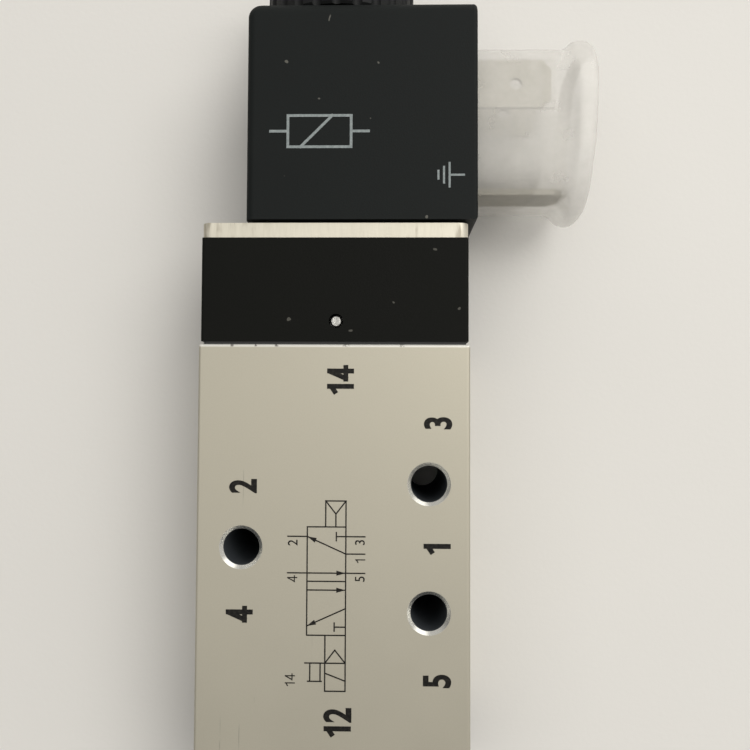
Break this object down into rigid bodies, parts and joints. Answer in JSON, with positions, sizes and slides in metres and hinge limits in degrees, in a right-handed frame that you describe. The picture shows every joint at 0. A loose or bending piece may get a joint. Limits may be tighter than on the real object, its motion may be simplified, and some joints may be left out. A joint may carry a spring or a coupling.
{
  "type": "solenoid directional valve",
  "caption": "Body-ported pilot-operated spool valve with a single coil, air-spring return, manual override pin and a translucent cap over the coil's terminals.",
  "frame": {"origin": "centre of the body's flat back face", "axes": "+Y along the spool towards the coil, +X towards the electrical terminals, +Z out of the front face that carries the port numbers"},
  "size_m": [0.0509, 0.1124, 0.022],
  "materials": {
    "anodised_body": "silver anodised, fine matt",
    "black_cover": "black, slightly rough",
    "bright_plate": "sheared edge, bright, scuffed",
    "coil_black": "fine moulded texture",
    "nut_black": "moulded, ribbed",
    "clear_cap": "milky translucent, soft",
    "tinned_blade": "tinned, drawn",
    "bright_steel": "polished",
    "zinc_screw": "zinc plated",
    "stainless_tube": "turned stainless",
    "spool_aluminium": "fine turned",
    "turned_brass": "turned",
    "spring_steel": "drawn wire",
    "yoke_steel": "pressed, zinc plated",
    "copper_wire": "enamelled copper winding",
    "nylon_bobbin": "natural nylon",
    "white_acetal": "turned acetal",
    "black_rubber": "matt"
  },
  "bodies": {
    "valve": {"valve_body": "anodised_body", "drilling_plug": "bright_steel", "spool_seal_1": "black_rubber", "spool_seal_2": "black_rubber", "spool_seal_3": "black_rubber", "spool_seal_4": "black_rubber", "spool_seal_5": "black_rubber", "spool_seal_6": "black_rubber", "port_3_cage": "white_acetal", "port_2_cage": "white_acetal", "port_1_cage": "white_acetal", "port_4_cage": "white_acetal", "port_5_cage": "white_acetal", "coil_end_stack_washer": "bright_steel", "cap_end_stack_washer": "bright_steel", "pilot_gasket": "black_rubber", "end_gasket": "black_rubber", "pilot_housing": "black_cover", "pilot_seat": "turned_brass", "clamp_plate": "bright_plate", "housing_screws": "zinc_screw", "end_cap": "black_cover", "spigot_seal": "black_rubber", "end_screws": "zinc_screw", "operator_tube": "stainless_tube", "tube_seal": "black_rubber", "fixed_core": "stainless_tube", "override_plug": "turned_brass", "coil_base_seal": "black_rubber", "armature_spring": "spring_steel", "override_spring": "spring_steel"},
    "spool": {"spool": "spool_aluminium", "pilot_piston": "white_acetal", "pilot_piston_seal": "black_rubber", "return_piston": "white_acetal", "return_piston_seal": "black_rubber"},
    "armature": {"armature": "stainless_tube", "armature_seat_seal": "black_rubber", "armature_exhaust_seal": "black_rubber"},
    "override": {"override_pin": "bright_steel", "override_upper_seal": "black_rubber", "override_lower_seal": "black_rubber"},
    "coil": {"coil_housing": "coil_black", "coil_bobbin": "nylon_bobbin", "coil_winding": "copper_wire", "coil_yoke": "yoke_steel", "terminal_1": "tinned_blade", "terminal_2": "tinned_blade", "terminal_earth": "tinned_blade"},
    "cap": {"terminal_cap": "clear_cap"},
    "nut_ring": {"nut_seal": "black_rubber"},
    "nut": {"coil_nut": "nut_black", "nut_insert": "turned_brass"}
  },
  "joints": [
    {"name": "spool_slide", "type": "slide", "parent": "valve", "child": "spool", "axis": [0, -1, 0], "range_m": [0, 0.0034], "stiffness_N_per_m": 300, "springref_m": -0.002},
    {"name": "armature_slide", "type": "slide", "parent": "valve", "child": "armature", "axis": [0, 1, 0], "range_m": [0, 0.00075], "stiffness_N_per_m": 500, "springref_m": -0.002, "deforming": ["armature_spring"]},
    {"name": "override_push", "type": "slide", "parent": "valve", "child": "override", "axis": [0, 0, -1], "range_m": [0, 0.0012], "stiffness_N_per_m": 400, "springref_m": -0.001, "deforming": ["override_spring"]},
    {"name": "coil_swivel", "type": "hinge", "parent": "valve", "child": "coil", "pos_m": [0, 0.0551, 0.011], "axis": [0, 1, 0], "continuous": true},
    {"name": "cap_pull", "type": "slide", "parent": "coil", "child": "cap", "axis": [1, 0, 0], "range_m": [0, 0.02]},
    {"name": "nut_lift", "type": "slide", "parent": "valve", "child": "nut_ring", "axis": [0, 1, 0], "range_m": [0, 0.0081]},
    {"name": "nut_turn", "type": "hinge", "parent": "nut_ring", "child": "nut", "pos_m": [0, 0.073, 0.011], "axis": [0, 1, 0], "range_deg": [0, 2880]}
  ],
  "couplings": [
    {"joint": "nut_lift", "follows": "nut_turn", "m_per_rad": 0.00015915}
  ]
}
